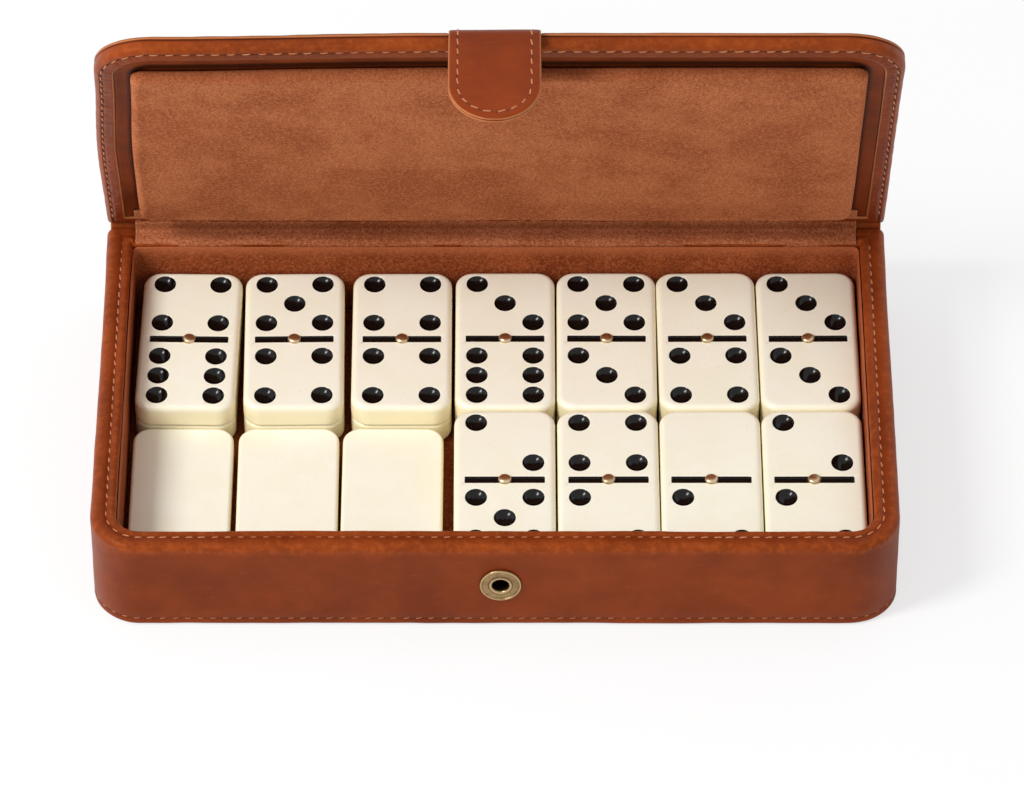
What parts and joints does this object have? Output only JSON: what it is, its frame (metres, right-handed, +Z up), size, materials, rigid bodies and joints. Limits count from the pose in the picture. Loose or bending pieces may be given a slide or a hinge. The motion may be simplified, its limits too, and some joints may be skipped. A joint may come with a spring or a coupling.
{
  "type": "domino storage box",
  "caption": "Shallow leather-covered storage box for domino tiles, with a hinged padded lid, a snap tab and tiles stacked in two layers.",
  "frame": {"origin": "middle of the tray's underside", "axes": "+X to the right and +Y to the back as the box is opened, with the hinge along X at the back, +Z up"},
  "size_m": [0.1956, 0.1181, 0.1328],
  "materials": {
    "tan_leather": "grained tan leather, satin",
    "dark_leather": "smooth brown leather, satin",
    "suede": "brown suede, matt nap",
    "board": "plain board, matt",
    "thread": "waxed golden thread",
    "brass": "antique brass",
    "ivory": "ivory resin, polished, with black pips and a brass pin"
  },
  "bodies": {
    "tray": {"wall_leather": "tan_leather", "bottom_leather": "dark_leather", "board_front": "board", "board_back": "board", "board_left": "board", "board_right": "board", "floor_board": "board", "suede_liner": "suede", "suede_floor": "suede", "rim_stitching": "thread", "foot_stitching": "thread", "snap_socket": "brass", "snap_socket_cap": "brass", "hinge_gusset": "suede", "hinge_spine": "tan_leather"},
    "lid": {"lid_leather": "tan_leather", "lid_board": "board", "lid_lining": "dark_leather", "pad_board": "board", "suede_pad": "suede", "lid_stitching": "thread", "lid_top_stitching": "thread", "tab_strap": "tan_leather", "tab_bend": "tan_leather"},
    "tab": {"tab_leather": "tan_leather", "tab_lining": "dark_leather", "tab_stitching": "thread", "snap_stud": "brass", "snap_stud_disc": "brass"},
    "tile_back_1_upper": {"tile_back_1_upper": "ivory"},
    "tile_back_2_upper": {"tile_back_2_upper": "ivory"},
    "tile_back_3_upper": {"tile_back_3_upper": "ivory"},
    "tile_back_4_upper": {"tile_back_4_upper": "ivory"},
    "tile_back_5_upper": {"tile_back_5_upper": "ivory"},
    "tile_back_6_upper": {"tile_back_6_upper": "ivory"},
    "tile_back_7_upper": {"tile_back_7_upper": "ivory"},
    "tile_front_4_upper": {"tile_front_4_upper": "ivory"},
    "tile_front_5_upper": {"tile_front_5_upper": "ivory"},
    "tile_front_6_upper": {"tile_front_6_upper": "ivory"},
    "tile_front_7_upper": {"tile_front_7_upper": "ivory"},
    "tile_back_1_lower": {"tile_back_1_lower": "ivory"},
    "tile_back_2_lower": {"tile_back_2_lower": "ivory"},
    "tile_back_3_lower": {"tile_back_3_lower": "ivory"},
    "tile_back_4_lower": {"tile_back_4_lower": "ivory"},
    "tile_back_5_lower": {"tile_back_5_lower": "ivory"},
    "tile_back_6_lower": {"tile_back_6_lower": "ivory"},
    "tile_back_7_lower": {"tile_back_7_lower": "ivory"},
    "tile_front_1_lower": {"tile_front_1_lower": "ivory"},
    "tile_front_2_lower": {"tile_front_2_lower": "ivory"},
    "tile_front_3_lower": {"tile_front_3_lower": "ivory"},
    "tile_front_4_lower": {"tile_front_4_lower": "ivory"},
    "tile_front_5_lower": {"tile_front_5_lower": "ivory"},
    "tile_front_6_lower": {"tile_front_6_lower": "ivory"},
    "tile_front_7_lower": {"tile_front_7_lower": "ivory"}
  },
  "joints": [
    {"name": "lid_hinge", "type": "hinge", "parent": "tray", "child": "lid", "pos_m": [0, 0.05645, 0.0271], "axis": [-1, 0, 0], "range_deg": [-64, 110], "deforming": ["hinge_gusset", "hinge_spine"]},
    {"name": "tab_flex", "type": "hinge", "parent": "lid", "child": "tab", "pos_m": [0, 0.00837, 0.12932], "axis": [-1, 0, 0], "range_deg": [-21, 50], "deforming": ["tab_bend"]},
    {"name": "lift_back_1_upper", "type": "slide", "parent": "tile_back_1_lower", "child": "tile_back_1_upper", "axis": [0, 0, 1], "range_m": [0, 0.0165]},
    {"name": "lift_back_2_upper", "type": "slide", "parent": "tile_back_2_lower", "child": "tile_back_2_upper", "axis": [0, 0, 1], "range_m": [0, 0.0165]},
    {"name": "lift_back_3_upper", "type": "slide", "parent": "tile_back_3_lower", "child": "tile_back_3_upper", "axis": [0, 0, 1], "range_m": [0, 0.0165]},
    {"name": "lift_back_4_upper", "type": "slide", "parent": "tile_back_4_lower", "child": "tile_back_4_upper", "axis": [0, 0, 1], "range_m": [0, 0.0165]},
    {"name": "lift_back_5_upper", "type": "slide", "parent": "tile_back_5_lower", "child": "tile_back_5_upper", "axis": [0, 0, 1], "range_m": [0, 0.0165]},
    {"name": "lift_back_6_upper", "type": "slide", "parent": "tile_back_6_lower", "child": "tile_back_6_upper", "axis": [0, 0, 1], "range_m": [0, 0.0165]},
    {"name": "lift_back_7_upper", "type": "slide", "parent": "tile_back_7_lower", "child": "tile_back_7_upper", "axis": [0, 0, 1], "range_m": [0, 0.0165]},
    {"name": "lift_front_4_upper", "type": "slide", "parent": "tile_front_4_lower", "child": "tile_front_4_upper", "axis": [0, 0, 1], "range_m": [0, 0.03]},
    {"name": "lift_front_5_upper", "type": "slide", "parent": "tile_front_5_lower", "child": "tile_front_5_upper", "axis": [0, 0, 1], "range_m": [0, 0.03]},
    {"name": "lift_front_6_upper", "type": "slide", "parent": "tile_front_6_lower", "child": "tile_front_6_upper", "axis": [0, 0, 1], "range_m": [0, 0.03]},
    {"name": "lift_front_7_upper", "type": "slide", "parent": "tile_front_7_lower", "child": "tile_front_7_upper", "axis": [0, 0, 1], "range_m": [0, 0.03]},
    {"name": "lift_back_1_lower", "type": "slide", "parent": "tray", "child": "tile_back_1_lower", "axis": [0, 0, 1], "range_m": [0, 0.0165]},
    {"name": "lift_back_2_lower", "type": "slide", "parent": "tray", "child": "tile_back_2_lower", "axis": [0, 0, 1], "range_m": [0, 0.0165]},
    {"name": "lift_back_3_lower", "type": "slide", "parent": "tray", "child": "tile_back_3_lower", "axis": [0, 0, 1], "range_m": [0, 0.0165]},
    {"name": "lift_back_4_lower", "type": "slide", "parent": "tray", "child": "tile_back_4_lower", "axis": [0, 0, 1], "range_m": [0, 0.0165]},
    {"name": "lift_back_5_lower", "type": "slide", "parent": "tray", "child": "tile_back_5_lower", "axis": [0, 0, 1], "range_m": [0, 0.0165]},
    {"name": "lift_back_6_lower", "type": "slide", "parent": "tray", "child": "tile_back_6_lower", "axis": [0, 0, 1], "range_m": [0, 0.0165]},
    {"name": "lift_back_7_lower", "type": "slide", "parent": "tray", "child": "tile_back_7_lower", "axis": [0, 0, 1], "range_m": [0, 0.0165]},
    {"name": "lift_front_1_lower", "type": "slide", "parent": "tray", "child": "tile_front_1_lower", "axis": [0, 0, 1], "range_m": [0, 0.03]},
    {"name": "lift_front_2_lower", "type": "slide", "parent": "tray", "child": "tile_front_2_lower", "axis": [0, 0, 1], "range_m": [0, 0.03]},
    {"name": "lift_front_3_lower", "type": "slide", "parent": "tray", "child": "tile_front_3_lower", "axis": [0, 0, 1], "range_m": [0, 0.03]},
    {"name": "lift_front_4_lower", "type": "slide", "parent": "tray", "child": "tile_front_4_lower", "axis": [0, 0, 1], "range_m": [0, 0.03]},
    {"name": "lift_front_5_lower", "type": "slide", "parent": "tray", "child": "tile_front_5_lower", "axis": [0, 0, 1], "range_m": [0, 0.03]},
    {"name": "lift_front_6_lower", "type": "slide", "parent": "tray", "child": "tile_front_6_lower", "axis": [0, 0, 1], "range_m": [0, 0.03]},
    {"name": "lift_front_7_lower", "type": "slide", "parent": "tray", "child": "tile_front_7_lower", "axis": [0, 0, 1], "range_m": [0, 0.03]}
  ]
}
